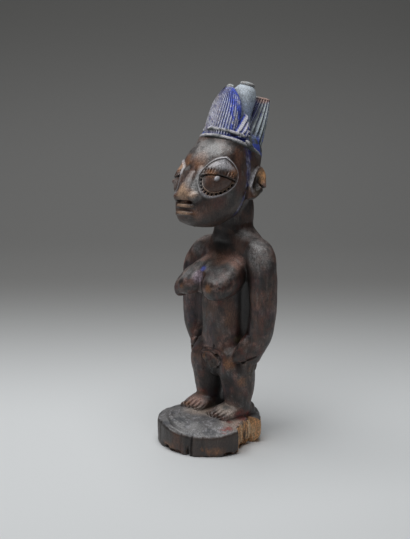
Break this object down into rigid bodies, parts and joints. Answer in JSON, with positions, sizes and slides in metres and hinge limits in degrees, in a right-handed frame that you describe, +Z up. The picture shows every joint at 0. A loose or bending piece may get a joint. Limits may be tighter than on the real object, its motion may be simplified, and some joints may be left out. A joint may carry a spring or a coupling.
{
  "type": "ibeji figure",
  "caption": "Carved wooden standing twin figure with a high crested hairstyle and arms at its sides, on a low round base it was cut with; stands free on a shelf.",
  "frame": {"origin": "middle of the round base's flat underside", "axes": "+Z up from the base to the hair, the figure faces -Y, its left side is +X"},
  "size_m": [0.09, 0.0991, 0.2796],
  "materials": {
    "patinated_wood": "dark handled wood with a low grey sheen, red camwood in the hollows and blue pigment in the hair"
  },
  "bodies": {
    "root": {"ibeji_figure": "patinated_wood"}
  },
  "joints": []
}
